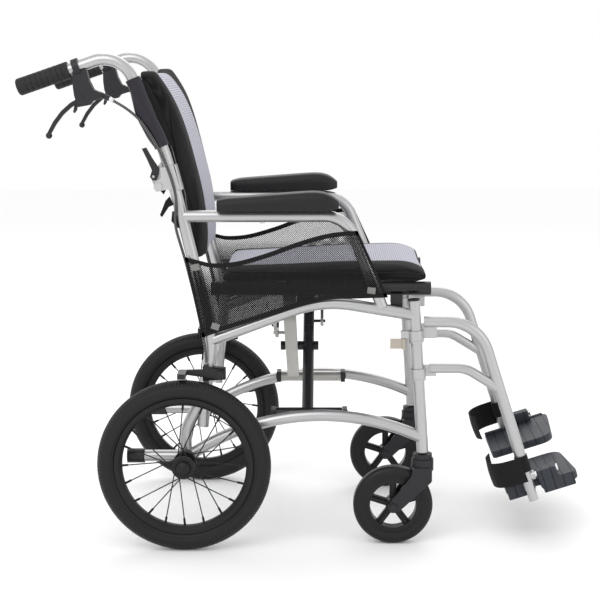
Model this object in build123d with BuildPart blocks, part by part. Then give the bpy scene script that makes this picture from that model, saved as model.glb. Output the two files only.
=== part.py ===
from build123d import *

import os
from math import atan2, cos, pi, radians, sin, tan

# Transport wheelchair with a cross-braced folding frame and a fold-down back.
# Millimetres, +X forward, +Y to the sitter's left, +Z up. The origin is on the floor,
# under the middle of the chair. Side profiles are drawn as (forward of the rear axle, above the floor).

os.makedirs("parts", exist_ok=True)

# --- driving dimensions ---------------------------------------------------------------------
grip_end = -304.0          # rear end of the push grips, from the rear axle
foot_front = 758.0         # front edge of the footplates, from the rear axle
axle_x = -(grip_end + foot_front) / 2

tube_d = 22.2              # frame tubes
tube_wall = 1.6
frame_y = 190.0            # middle of each side frame
running_gap = 0.4          # between pieces that slide or turn on each other

wheel_r = 164.0
wheel_y = 235.0
tyre_w = 37.0
rim_r = 131.0
rim_inner_r = 117.0
rim_w = 25.0
spoke_count = 20
spoke_d = 2.2
hub_r = 11.0
hub_flange_r = 22.0
hub_flange_gap = 34.0
axle_d = 12.0

caster_r = 76.0
caster_w = 30.0
caster_x = 395.0
caster_rim_r = 54.0
caster_hub_r = 14.0
caster_spokes = 5
fork_x = 451.0             # caster swivel axis

post_top = (432.2, 471.0)
post_foot = (fork_x, 179.0)

hinge = (-41.6, 686.5)     # pivot of the folding back
back_split = 700.0         # height of the joint in the push tubes

rail_y = 164.0
rail_z = 490.0
rail_r = 13.0
rail_rear = 50.0
rail_front = 465.0

brace_y = 165.0            # lower pivots of the cross brace
brace_z = 248.0
brace_mid_z = 347.0
brace_a_x = 232.0
brace_b_x = 198.0
brace_d = 22.0
sleeve_r = 11.0
sleeve_rear = 172.0
sleeve_front = 298.0

seat_half = 176.0
seat_top = 550.0
pad_w = 52.0
pad_y = 204.0

leg_y = 176.0              # footrest hangers
leg_lean = 17.8            # degrees
leg_foot = (656.4, 112.5)  # where the hanger's line meets the top of the footplate
plate_t = 16.0
flip_h = 14.0              # footplate hinge above the plate's top
left_raise = 23.0          # the left footrest is set one hole shorter

tube_r = tube_d / 2
bore_r = tube_r - tube_wall


def side(y, x=0.0, z=0.0):
    """A plane parallel to the side frames, drawn in X forward of the rear axle and Z up."""
    return Plane(origin=(axle_x + x, y, z), x_dir=(1, 0, 0), z_dir=(0, -1, 0))


def across(x):
    """A plane square to the chair's length, drawn in Y and Z."""
    return Plane(origin=(axle_x + x, 0, 0), x_dir=(0, 1, 0), z_dir=(1, 0, 0))


def foot_plane(n=0.0):
    """A plane level with the footplate: X forward from the hanger's line, raised n along it."""
    lean = radians(leg_lean)
    up = Vector(-sin(lean), 0, cos(lean))
    foot = Vector(axle_x + leg_foot[0], 0, leg_foot[1])
    return Plane(origin=foot + up * n, x_dir=(cos(lean), 0, sin(lean)), z_dir=up)


def on_line(a, b, z):
    """The point at height z on the line through two side-view points."""
    return (a[0] + (b[0] - a[0]) * (z - a[1]) / (b[1] - a[1]), z)


def swept(points, radii, outer, inner=0.0, plane=None):
    """A round bar or tube along straight runs joined by tangent arcs."""
    with BuildPart(mode=Mode.PRIVATE) as bar:
        with BuildLine(plane or side(-frame_y)) as path:
            if radii:
                FilletPolyline(*points, radius=radii)
            else:
                Line(*points)
        with BuildSketch(Plane(origin=path.line @ 0, z_dir=path.line % 0)):
            Circle(outer)
            if inner:
                Circle(inner, mode=Mode.SUBTRACT)
        sweep()
    return bar.part


def cylinder_y(x, z, r, y0, y1):
    """A cylinder across the chair between two Y values."""
    with BuildPart(mode=Mode.PRIVATE) as pin:
        with BuildSketch(side(max(y0, y1))):
            with Locations((x, z)):
                Circle(r)
        extrude(amount=abs(y1 - y0))
    return pin.part


def cylinder_x(y, z, r, x0, x1):
    """A cylinder along the chair between two X values."""
    with BuildPart(mode=Mode.PRIVATE) as pin:
        with BuildSketch(across(min(x0, x1))):
            with Locations((y, z)):
                Circle(r)
        extrude(amount=abs(x1 - x0))
    return pin.part


def plate_y(points, y0, y1, corner=0.0):
    """A flat plate with a side-view outline between two Y values."""
    with BuildPart(mode=Mode.PRIVATE) as plate:
        with BuildSketch(side(max(y0, y1))) as outline:
            with BuildLine():
                Polyline(*points, close=True)
            make_face()
            if corner:
                fillet(outline.vertices(), corner)
        extrude(amount=abs(y1 - y0))
    return plate.part


def box_between(x0, x1, y0, y1, z0, z1):
    """A plain box between limits, X measured from the rear axle."""
    with BuildPart(mode=Mode.PRIVATE) as box:
        with Locations((axle_x + (x0 + x1) / 2, (y0 + y1) / 2, (z0 + z1) / 2)):
            Box(x1 - x0, y1 - y0, z1 - z0)
    return box.part


pieces = {}


def save(builder, name):
    builder.part.label = name
    pieces[name] = builder.part
    export_step(builder.part, f"parts/{name}.step")


# --- side frame: rear post with axle stay and tipping tube ----------------------------------
post_rear_top = (-17.4, back_split)
post_bend = (52.0, 411.0)
post_rear_foot = (33.0, 229.0)
stay_foot = (0.0, wheel_r + 4)
boss_r = 19.0
boss_half = 11.0
stomp_z = 170.7
stomp_end = -107.0
frame_mid = -frame_y

rear_runs = [
    ([post_rear_top, post_bend, post_rear_foot], [160]),
    ([stay_foot, (0, 222), (37, 296)], [70]),
    ([(0, stomp_z), (stomp_end, stomp_z)], None),
]
axle_boss = cylinder_y(0, wheel_r + 3, boss_r, frame_mid - boss_half, frame_mid + boss_half)

with BuildPart() as rear_post:
    for run, bends in rear_runs:
        add(swept(run, bends, tube_r))
    add(axle_boss)
    for run, bends in rear_runs:
        add(swept(run, bends, bore_r), mode=Mode.SUBTRACT)
    add(cylinder_y(0, wheel_r, axle_d / 2, frame_mid - 30, frame_mid + 30), mode=Mode.SUBTRACT)
save(rear_post, "right_rear_post")

rear_core = [swept(run, bends, tube_r) for run, bends in rear_runs]

# --- side frame: front post -----------------------------------------------------------------
ring_r = tube_r + 3.0
ring_h = 4.0
collar_h = 18.0
upper_collar_z = 405.0
lower_collar_z = 332.0
post_axis = Vector(post_top[0] - post_foot[0], 0, post_top[1] - post_foot[1]).normalized()


def post_plane(z):
    """A plane square to the front post, centred on it at height z."""
    x = on_line(post_foot, post_top, z)[0]
    return Plane(origin=(axle_x + x, frame_mid, z), x_dir=(0, 1, 0), z_dir=post_axis)


with BuildPart() as front_post:
    add(swept([post_foot, post_top], None, tube_r, bore_r))
    for z in (upper_collar_z, lower_collar_z):
        with BuildSketch(post_plane(z).offset(-collar_h / 2 - ring_h - running_gap)):
            Circle(ring_r)
            Circle(tube_r - 0.5, mode=Mode.SUBTRACT)
        extrude(amount=ring_h)
save(front_post, "right_front_post")

front_core = swept([post_foot, post_top], None, tube_r)

# --- side frame: the two arched tubes -------------------------------------------------------
arch_rear = (50.0, 394.0)
arch_crest = (259.0, 472.0)
arch_front = (434.0, 443.0)

with BuildPart() as upper_arch:
    add(swept([arch_rear, arch_crest, arch_front], [220], tube_r, bore_r))
    add(rear_core[0], mode=Mode.SUBTRACT)
    add(front_core, mode=Mode.SUBTRACT)
save(upper_arch, "right_upper_arch")

with BuildPart(mode=Mode.PRIVATE) as lower_bar:
    with BuildLine(side(frame_mid)) as low_path:
        ThreePointArc((10, 173), (268, 249.5), (448, 207))
    with BuildSketch(Plane(origin=low_path.line @ 0, z_dir=low_path.line % 0)):
        Circle(tube_r)
    sweep()
lower_core = lower_bar.part

with BuildPart() as lower_arch:
    with BuildSketch(Plane(origin=low_path.line @ 0, z_dir=low_path.line % 0)):
        Circle(tube_r)
        Circle(bore_r, mode=Mode.SUBTRACT)
    sweep(path=low_path.line)
    add(axle_boss, mode=Mode.SUBTRACT)
    for core in rear_core:
        add(core, mode=Mode.SUBTRACT)
    add(front_core, mode=Mode.SUBTRACT)
save(lower_arch, "right_lower_arch")

# --- armrest --------------------------------------------------------------------------------
arm_z = 630.0
arm_elbow = (304.0, arm_z)
arm_foot = (373.0, 458.0)
arm_rear = on_line(post_rear_top, post_bend, arm_z)
upper_core = swept([arch_rear, arch_crest, arch_front], [220], tube_r)

with BuildPart() as armrest_tube:
    add(swept([arm_rear, arm_elbow, arm_foot], [60], tube_r, bore_r))
    add(rear_core[0], mode=Mode.SUBTRACT)
    add(upper_core, mode=Mode.SUBTRACT)
save(armrest_tube, "right_armrest_tube")

pad_floor = arm_z + tube_r + running_gap
with BuildPart() as armrest_pad:
    with BuildSketch(side(-pad_y + pad_w / 2)):
        with BuildLine():
            Line((70, pad_floor), (283, pad_floor))
            ThreePointArc((283, pad_floor), (291, pad_floor + 8), (284, pad_floor + 20))
            ThreePointArc((284, pad_floor + 20), (250, pad_floor + 28), (200, pad_floor + 26))
            Line((200, pad_floor + 26), (72, pad_floor + 20))
            ThreePointArc((72, pad_floor + 20), (66, pad_floor + 12), (70, pad_floor))
        make_face()
    extrude(amount=pad_w)
save(armrest_pad, "right_armrest_pad")

# --- mesh side panel ------------------------------------------------------------------------
panel_y = -(frame_y + tube_r + 1.4)
panel_t = 2.0
panel_outline = [
    (4, 555), (57, 543), (102, 547), (156, 562), (247, 593), (300, 603), (326, 604),
    (367, 505), (383, 479), (330, 477), (275, 475), (168, 446), (35, 403),
]
panel = plate_y(panel_outline, panel_y, panel_y - panel_t)
with BuildPart() as side_panel:
    add(panel)
save(side_panel, "right_side_panel")

# --- hinge bracket, brake bracket, plugs and rests on the frame -----------------------------
cheek_in = tube_r + running_gap
cheek_t = 2.6
bracket_top = 727.0
bracket_low = 681.0
brake_pivot = (68.0, 333.0)
bracket_face = on_line(post_rear_top, post_bend, bracket_low)[0]
cheek = [
    (-38, 721), (-14, bracket_top), (bracket_face + 12, bracket_low), (bracket_face - 13, bracket_low),
    (-46, 677), (-51, 684), (-47, 695), (-37, 703),
]
pivot_pin_r = 4.0
plug_h = 3.0

with BuildPart() as hinge_bracket:
    for y in (frame_mid - cheek_in - cheek_t, frame_mid + cheek_in):
        add(plate_y(cheek, y, y + cheek_t))
    with BuildSketch(side(frame_mid + cheek_in + cheek_t)):
        with BuildLine():
            web_x = bracket_face + tube_r + 1.5
            Polyline((-12.2, bracket_top), (web_x, bracket_low), (web_x + 3, bracket_low), (-9.2,
                bracket_top), close=True)
        make_face()
    extrude(amount=2 * (cheek_in + cheek_t))
    add(cylinder_y(*hinge, pivot_pin_r, frame_mid - cheek_in - cheek_t - 3,
        frame_mid + cheek_in + cheek_t + 3))
    add(cylinder_y(*hinge, 7, frame_mid - cheek_in - cheek_t - 3, frame_mid - cheek_in - cheek_t))
    add(rear_core[0], mode=Mode.SUBTRACT)

post_at_brake = on_line(post_bend, post_rear_foot, brake_pivot[1])[0]
clamp_y = frame_mid - tube_r - 3.5
with BuildPart() as brake_bracket:
    add(plate_y([(post_at_brake - 9, 320), (78, 322), (78, 344), (post_at_brake - 9, 347)],
        frame_mid, clamp_y))
    add(cylinder_y(*brake_pivot, 4, clamp_y, clamp_y - 11))
    add(cylinder_y(*brake_pivot, 7.5, clamp_y - 8.4, clamp_y - 11))
    add(rear_core[0], mode=Mode.SUBTRACT)

with BuildPart() as stomp_cap:
    add(swept([(stomp_end - 5, stomp_z), (stomp_end + 28, stomp_z)], None, tube_r + 2.6))
    add(swept([(stomp_end, stomp_z), (stomp_end + 29, stomp_z)], None, tube_r + 0.05), mode=Mode.SUBTRACT)

with BuildPart() as post_plug:
    add(swept([post_top, on_line(post_foot, post_top, post_top[1] + plug_h)], None, tube_r))
    add(swept([on_line(post_foot, post_top, post_top[1] - 14), post_top], None, bore_r - 0.1))

rail_core = cylinder_x(-rail_y, rail_z, rail_r + 0.3, rail_rear, rail_front)


def rail_rest(x0, x1, z0):
    """A black block inboard of the upper tube that carries the seat rail."""
    with BuildPart(mode=Mode.PRIVATE) as rest:
        add(box_between(x0, x1, -(frame_y - tube_r) - 3, -rail_y + rail_r, rail_z - rail_r - 14,
            rail_z - rail_r + 5))
        add(box_between(x0, x1, -(frame_y - tube_r) + 0.3, -(frame_y - tube_r) + 8, z0, rail_z - rail_r))
        add(rail_core, mode=Mode.SUBTRACT)
        add(upper_core, mode=Mode.SUBTRACT)
        add(front_core, mode=Mode.SUBTRACT)
    return rest.part


link_x = 171.0
link_t = 6.0
link_pivot = (-174.0, 425.0)
link_pin_r = 4.0
rod_r = 6.0
block_t = 9.0

with BuildPart() as brace_rod:
    add(cylinder_x(-brace_y, brace_z, rod_r, sleeve_rear - block_t - 2, sleeve_front + block_t + 2))
    for x in (sleeve_rear - block_t - 0.5, sleeve_front + 0.5):
        add(box_between(x, x + block_t, -(frame_y - tube_r + 4), -(brace_y - 11), brace_z - 11,
            brace_z + 11))
    add(lower_core, mode=Mode.SUBTRACT)

link_lug_x = link_x + link_t / 2 + running_gap
turn_axis = Axis((axle_x + (brace_a_x + brace_b_x) / 2, 0, 0), (0, 0, 1))


def link_lug(top):
    """The bracket that hangs the side link from the upper tube, with its pin."""
    with BuildPart(mode=Mode.PRIVATE) as lug:
        with BuildSketch(across(link_lug_x)):
            with BuildLine():
                Polyline((-188, 432), (-188, top), (-180, top), (-166, 430), (-168, 418), (-178,
                    417), close=True)
            make_face()
        extrude(amount=4)
        add(cylinder_x(*link_pivot, link_pin_r, link_x - link_t / 2 - 3, link_lug_x + 4))
        add(cylinder_x(*link_pivot, 6.5, link_x - link_t / 2 - 3.4, link_x - link_t / 2 - running_gap))
    return lug.part


# --- rear wheels ----------------------------------------------------------------------------
spin_plane = Plane(origin=(axle_x, -wheel_y, wheel_r), x_dir=(0, -1, 0), z_dir=(-1, 0, 0))
wheel_axis = Axis((axle_x, -wheel_y, wheel_r), (0, 1, 0))
hub_in = wheel_y - frame_y - boss_half - running_gap

with BuildPart() as tyre:
    with BuildSketch(spin_plane):
        with Locations((0, (wheel_r + rim_r - 3) / 2)):
            Ellipse(tyre_w / 2, (wheel_r - rim_r + 3) / 2)
        with Locations((0, rim_r / 2)):
            Rectangle(tyre_w, rim_r, mode=Mode.SUBTRACT)
    revolve(axis=wheel_axis)
save(tyre, "right_tyre")

with BuildPart() as wheel:
    with BuildSketch(spin_plane):
        with BuildLine():
            Polyline(
                (-rim_w / 2, rim_r), (rim_w / 2, rim_r), (rim_w / 2 - 1.5, rim_r - 8),
                (5, rim_inner_r), (-5, rim_inner_r), (1.5 - rim_w / 2, rim_r - 8), close=True,
            )
        make_face()
        with BuildLine():
            flange = hub_flange_gap / 2
            Polyline(
                (-hub_in, axle_d / 2), (-hub_in, hub_r), (-flange - 2, hub_r), (-flange - 2, hub_flange_r),
                (2 - flange, hub_flange_r), (2 - flange, hub_r), (flange - 2, hub_r), (flange - 2,
                    hub_flange_r),
                (flange + 2, hub_flange_r), (flange + 3, hub_r + 4), (flange + 9, hub_r + 1),
                (flange + 12, hub_r - 6), (flange + 12, 0), (flange + 4, 0), (flange + 4,
                    axle_d / 2), close=True,
            )
        make_face()
    revolve(axis=wheel_axis)
    for i in range(spoke_count):
        turn = radians(360 / spoke_count * i)
        cross = radians(42) * (1 if i % 4 < 2 else -1)
        y = -wheel_y + (hub_flange_gap / 2 if i % 2 else -hub_flange_gap / 2)
        rim_y = -wheel_y + (3 if i % 2 else -3)
        hub_point = Vector(
            axle_x + (hub_flange_r - 3) * cos(turn + cross), y,
                wheel_r + (hub_flange_r - 3) * sin(turn + cross))
        rim_point = Vector(axle_x + (rim_inner_r + 4) * cos(turn), rim_y,
            wheel_r + (rim_inner_r + 4) * sin(turn))
        run = rim_point - hub_point
        with BuildSketch(Plane(origin=hub_point, z_dir=run)):
            Circle(spoke_d / 2)
        extrude(amount=run.length)
        with BuildSketch(Plane(origin=rim_point - run.normalized() * 16, z_dir=run)):
            Circle(spoke_d)
        extrude(amount=14)
save(wheel, "right_wheel")

with BuildPart() as axle_bolt:
    add(cylinder_y(0, wheel_r, axle_d / 2 - 0.3, -frame_y + boss_half + 9,
        -wheel_y - hub_flange_gap / 2 - 3))
    add(cylinder_y(0, wheel_r, axle_d / 2, -frame_y + boss_half + 9, -frame_y - boss_half))
    add(cylinder_y(0, wheel_r, 10.5, -frame_y + boss_half + 9, -frame_y + boss_half))

# --- front casters --------------------------------------------------------------------------
caster_plane = Plane(origin=(axle_x + caster_x, frame_mid, caster_r), x_dir=(1, 0, 0), z_dir=(0, -1, 0))
caster_spin = Plane(origin=(axle_x + caster_x, frame_mid, caster_r), x_dir=(0, -1, 0), z_dir=(-1, 0, 0))
caster_axis = Axis((axle_x + caster_x, frame_mid, caster_r), (0, 1, 0))
caster_bolt_r = 4.0

with BuildPart() as caster_tyre:
    with BuildSketch(caster_spin):
        half = caster_w / 2
        with BuildLine():
            Line((-half + 2, caster_rim_r), (half - 2, caster_rim_r))
            Line((half - 2, caster_rim_r), (half, caster_rim_r + 8))
            ThreePointArc((half, caster_rim_r + 8), (half - 3, caster_r - 3), (half - 9, caster_r))
            Line((half - 9, caster_r), (9 - half, caster_r))
            ThreePointArc((9 - half, caster_r), (3 - half, caster_r - 3), (-half, caster_rim_r + 8))
            Line((-half, caster_rim_r + 8), (2 - half, caster_rim_r))
        make_face()
    revolve(axis=caster_axis)
save(caster_tyre, "right_caster_tyre")

with BuildPart() as caster_wheel:
    with BuildSketch(caster_spin):
        with Locations((0, caster_rim_r - 5)):
            Rectangle(caster_w - 6, 10)
        with Locations((0, (caster_hub_r + caster_bolt_r + running_gap) / 2)):
            Rectangle(caster_w + 2, caster_hub_r - caster_bolt_r - running_gap)
    revolve(axis=caster_axis)
    spoke_run = caster_rim_r - 6 - caster_hub_r
    for i in range(caster_spokes):
        turn = radians(90 + 360 / caster_spokes * i)
        reach = Vector(cos(turn), 0, sin(turn))
        root = caster_plane.origin + reach * (caster_hub_r - 2)
        with BuildSketch(Plane(origin=root, x_dir=(0, 1, 0), z_dir=reach)):
            Rectangle(9, 13)
            Rectangle(18, 5)
        extrude(amount=spoke_run + 3)
save(caster_wheel, "right_caster_wheel")

fork_half = 23.5
crown_top = 166.0
crown_low = 128.0
crown_r = 21.0
wheel_space = caster_w / 2 + 2.5
with BuildPart() as fork:
    with BuildSketch(Plane(origin=(axle_x, frame_mid + fork_half, 0), x_dir=(1, 0, 0), z_dir=(0, -1, 0))):
        with BuildLine():
            Polyline(
                (fork_x - 19, crown_low + 24), (fork_x + 17, crown_low + 24), (fork_x + 17, crown_low - 2),
                (caster_x + 11, caster_r - 9), (caster_x - 4, caster_r - 12), (caster_x - 12, caster_r + 1),
                (fork_x - 22, crown_low + 8), close=True,
            )
        make_face()
    extrude(amount=2 * fork_half)
    fillet(fork.edges().filter_by(Axis.Y), 6)
    add(cylinder_y(caster_x, caster_r, caster_r + 3.5, frame_mid - wheel_space,
        frame_mid + wheel_space), mode=Mode.SUBTRACT)
    with Locations((axle_x + fork_x, frame_mid, (crown_low + crown_top) / 2 + 8)):
        Cylinder(crown_r, crown_top - crown_low - 16)
    with Locations((axle_x + fork_x, frame_mid, crown_top + 5)):
        Cylinder(crown_r - 3, 10)
        Cylinder(tube_r + 5, 6)
    with Locations((axle_x + fork_x, frame_mid, crown_top + 20)):
        Cylinder(rod_r, 60)
    add(cylinder_y(caster_x, caster_r, caster_bolt_r, frame_mid - fork_half - 3, frame_mid + fork_half + 3))
    for y in (frame_mid - fork_half - 4, frame_mid + fork_half):
        add(cylinder_y(caster_x, caster_r, 7, y, y + 4))
save(fork, "right_fork")

# --- push tubes, grips and brake controls ---------------------------------------------------
cane_bend = (-107.7, 932.2)
cane_low = (-33.0, 754.0)
cane_rear = (-296.0, 868.6)
cane_foot = (-17.4 + (-17.4 + 33.0) / (back_split - 754.0) * 1.0, back_split + 1.0)
lug_half = 3.0

with BuildPart() as upper_cane:
    add(swept([cane_rear, cane_bend, cane_low, cane_foot], [55, 200], tube_r, bore_r))
    with BuildSketch(side(frame_mid + lug_half)):
        with BuildLine():
            Polyline((-28, 745), (-22, 712), (-27, 703), (-34, 690), (-40, 679), (-50, 683), (-55,
                697), (-56, 706), (-49, 716),
                     close=True)
        make_face()
    extrude(amount=2 * lug_half)
    add(cylinder_y(*hinge, 9, frame_mid - lug_half - 2, frame_mid + lug_half + 2))
    add(swept([cane_rear, cane_bend, cane_low, cane_foot], [55, 200], bore_r), mode=Mode.SUBTRACT)
    add(cylinder_y(*hinge, pivot_pin_r + 0.3, frame_mid - 12, frame_mid + 12), mode=Mode.SUBTRACT)
    add(cylinder_y(-51, 705, 2.5, frame_mid - 14, frame_mid + 3))
save(upper_cane, "right_upper_cane")

cane_core = swept([cane_rear, cane_bend, cane_low, cane_foot], [55, 200], tube_r)
grip_slope = atan2(cane_bend[1] - cane_rear[1], cane_bend[0] - cane_rear[0])
grip_back = Vector(-cos(grip_slope), 0, -sin(grip_slope))
grip_r = 16.0
grip_len = 101.0
grip_front_x = -203.5
grip_front = Vector(axle_x + grip_front_x, frame_mid, cane_rear[1] + (grip_front_x - cane_rear[0]) * tan(grip_slope))
with BuildPart() as grip:
    with BuildSketch(Plane(origin=grip_front, z_dir=grip_back)):
        Circle(grip_r)
    extrude(amount=grip_len)
    fillet(grip.edges().sort_by(Axis.X)[0], 5)
    for i in range(8):
        with BuildSketch(Plane(origin=grip_front + grip_back * (10 + 10 * i), z_dir=grip_back)):
            Circle(grip_r + 1)
            Circle(grip_r - 0.9, mode=Mode.SUBTRACT)
        extrude(amount=2, mode=Mode.SUBTRACT)
    add(cane_core, mode=Mode.SUBTRACT)
save(grip, "right_grip")

housing_half = 10.0
lever_half = 4.0
lever_pivot = (-180.0, 850.0)
trigger_pivot = (-191.0, 840.0)
trigger_half = 2.0
clamp_at = Vector(axle_x - 184, frame_mid, cane_rear[1] + 112 * tan(grip_slope))
with BuildPart() as lever_housing:
    with BuildSketch(Plane(origin=clamp_at, z_dir=grip_back)):
        Circle(tube_r + 5)
    extrude(amount=12)
    add(plate_y(
        [(-196, 898), (-172, 904), (-166, 880), (-158, 864), (-144, 858), (-141, 849), (-160, 843),
            (-166, 836),
         (-188, 832), (-194, 853), (-196, 870)],
        frame_mid - housing_half, frame_mid + housing_half, 3))
    with BuildSketch(Plane(origin=(axle_x - 148, frame_mid, 855.5), z_dir=(15, 0, -7))):
        Circle(5)
    extrude(amount=19)
    add(plate_y([(-206, 860), (-163, 860), (-163, 820), (-206, 820)], frame_mid - lever_half - 0.5,
                frame_mid + lever_half + 0.5), mode=Mode.SUBTRACT)
    add(cylinder_y(*lever_pivot, 3, frame_mid - housing_half - 1.5, frame_mid + housing_half + 1.5))
    add(cane_core, mode=Mode.SUBTRACT)
save(lever_housing, "right_lever_housing")

with BuildPart() as brake_lever:
    with BuildSketch(side(frame_mid + lever_half)):
        with BuildLine():
            Polyline((-186, 856), (-174, 854), (-174, 846), (-181, 843), (-200, 832), (-216, 818),
                (-230, 800),
                     (-241, 781), (-247, 784), (-235, 806), (-220, 825), (-203, 840), (-190, 847),
                         close=True)
        make_face()
    extrude(amount=2 * lever_half)
    fillet(brake_lever.edges().filter_by(Axis.Y).filter_by_position(Axis.X, axle_x - 230, axle_x - 180), 2)
    with Locations((axle_x - 244, frame_mid, 780)):
        Sphere(6)
    add(cylinder_y(*lever_pivot, 3.3, frame_mid - 6, frame_mid + 6), mode=Mode.SUBTRACT)
    add(box_between(-199, -183, frame_mid - trigger_half - 0.4, frame_mid + trigger_half + 0.4, 820, 844.5),
        mode=Mode.SUBTRACT)
    add(cylinder_y(*trigger_pivot, 1.5, frame_mid - lever_half, frame_mid + lever_half))
save(brake_lever, "right_brake_lever")

with BuildPart() as lock_trigger:
    add(cylinder_y(*trigger_pivot, 3.2, frame_mid - trigger_half, frame_mid + trigger_half))
    add(plate_y([(-194, 841), (-188, 839), (-191, 826), (-195, 821), (-198, 823)], frame_mid - trigger_half,
                frame_mid + trigger_half))
    add(cylinder_y(*trigger_pivot, 1.8, frame_mid - 6, frame_mid + 6), mode=Mode.SUBTRACT)
save(lock_trigger, "right_lock_trigger")

fold_lever_pivot = (-51.0, 705.0)
with BuildPart() as fold_lever:
    with BuildSketch(side(frame_mid - lug_half - 1)):
        with BuildLine():
            Polyline((-72, 756), (-64, 758), (-54, 740), (-41, 720), (-42, 708), (-46, 698), (-53,
                697), (-58, 704),
                     (-54, 716), (-62, 735), close=True)
        make_face()
    extrude(amount=5)
    add(cylinder_y(*fold_lever_pivot, 2.8, frame_mid - 15, frame_mid + 5), mode=Mode.SUBTRACT)
save(fold_lever, "right_fold_lever")

# --- wheel brake ----------------------------------------------------------------------------
arm_y = clamp_y - 0.8
with BuildPart() as brake_arm:
    with BuildSketch(side(arm_y)):
        with BuildLine():
            Polyline((2, 333), (60, 325), (76, 326), (78, 340), (50, 345), (46, 352), (38, 352),
                (36, 343), (2, 342),
                     close=True)
        make_face()
    extrude(amount=6)
    add(box_between(-9, 6, -wheel_y - tyre_w / 2 + 4, arm_y, wheel_r * 2 + 4, wheel_r * 2 + 14))
    add(cylinder_y(*brake_pivot, 4.3, arm_y, arm_y - 6), mode=Mode.SUBTRACT)
save(brake_arm, "right_brake_arm")

# --- brake cable, held by the tube clips along its whole way --------------------------------
cable_r = 2.6
cable_points = [
    (-130.4, -190.0, 847.2), (-113, -191.5, 838), (-93, -194, 825), (-74, -197.6, 808.5), (-59,
        -203.4, 788),
    (-44.6, -207, 765), (-32, -208, 740), (-21.5, -208.2, 714), (-13.5, -208, 688), (-8.6, -206.2, 662),
    (-12, -202.4, 637), (-13, -195.8, 612), (-6.6, -191, 585), (1.6, -190, 557), (8.8, -190.2, 529),
    (15.2, -190, 501), (22, -190.3, 473), (27.6, -190.6, 446), (33, -193.6, 422), (37.2, -199, 399),
    (41.6, -206.8, 378), (42.6, -208.6, 356),
]


def cable_path(points):
    """Route points in part coordinates and the arc radius that each corner can take."""
    route = [Vector(axle_x + x, y, z) for x, y, z in points]
    radii = []
    for before, here, after in zip(route, route[1:], route[2:]):
        half_turn = radians((here - before).get_angle(after - here)) / 2
        radii.append(0.45 * min((here - before).length, (after - here).length) / tan(half_turn))
    return route, radii


cable_route, cable_radii = cable_path(cable_points)
print("cable radii", [round(r, 1) for r in cable_radii])
with BuildPart() as brake_cable:
    with BuildLine() as cable_line:
        FilletPolyline(*cable_route, radius=cable_radii)
    with BuildSketch(Plane(origin=cable_line.line @ 0, z_dir=cable_line.line % 0)):
        Circle(cable_r)
    sweep()
cable_length = sum(edge.length for edge in cable_line.edges())
print("cable length", round(cable_length, 1), "volume", round(brake_cable.part.volume),
      "section times length", round(pi * cable_r ** 2 * cable_length))
save(brake_cable, "right_brake_cable")

# --- footrest hanger ------------------------------------------------------------------------
upper_tube_z = 428.0
strut_z = 338.5
collar_in = tube_r + running_gap
collar_out = collar_in + 3.2
lean = radians(leg_lean)
leg_bend_n = (upper_tube_z - leg_foot[1]) / cos(lean)
leg_end_n = -12.0
slide_end_n = -34.0
slide_r = tube_r - 1.6
pin_r = 5.0
pin_front = 58.0
boss_back = 6.0
boss_front = 15.5
release_x = 414.0
release_pin_r = 2.0
collar_bore = swept([post_foot, post_top], None, collar_in)


def leg_point(n):
    """The side-view point on the hanger's leg, n above the top of the footplate."""
    return (leg_foot[0] - n * sin(lean), leg_foot[1] + n * cos(lean))


def foot_solid(points, n0, n1, corner=0.0):
    """A block standing on the footplate's plane, drawn as (forward of the leg, Y)."""
    with BuildPart(mode=Mode.PRIVATE) as block:
        with BuildSketch(foot_plane(n0)) as outline:
            with BuildLine():
                Polyline(*points, close=True)
            make_face()
            if corner:
                fillet(outline.vertices(), corner)
        extrude(amount=n1 - n0)
    return block.part


def foot_rod(x0, x1, y, n, r):
    """A round rod along the footplate's fore and aft direction."""
    base = foot_plane(n)
    with BuildPart(mode=Mode.PRIVATE) as rod:
        with BuildSketch(Plane(origin=base.from_local_coords((x0, y, 0)), z_dir=base.x_dir)):
            Circle(r)
        extrude(amount=x1 - x0)
    return rod.part


def keep(builder, side_name, name):
    """Save a piece drawn on the right; the left one is its mirror image."""
    if side_name == "right":
        save(builder, f"right_{name}")
        return
    with BuildPart() as twin:
        add(mirror(builder.part, about=Plane.XZ, mode=Mode.PRIVATE))
    save(twin, f"left_{name}")


skirt_n = -34.0
block_n = 20.0
loop_n = (8.0, 58.0)
ring_n = 26.0              # the band round the leg starts above the hinge boss
loop_t = 1.6
loop_in = tube_r + 0.2

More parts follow.
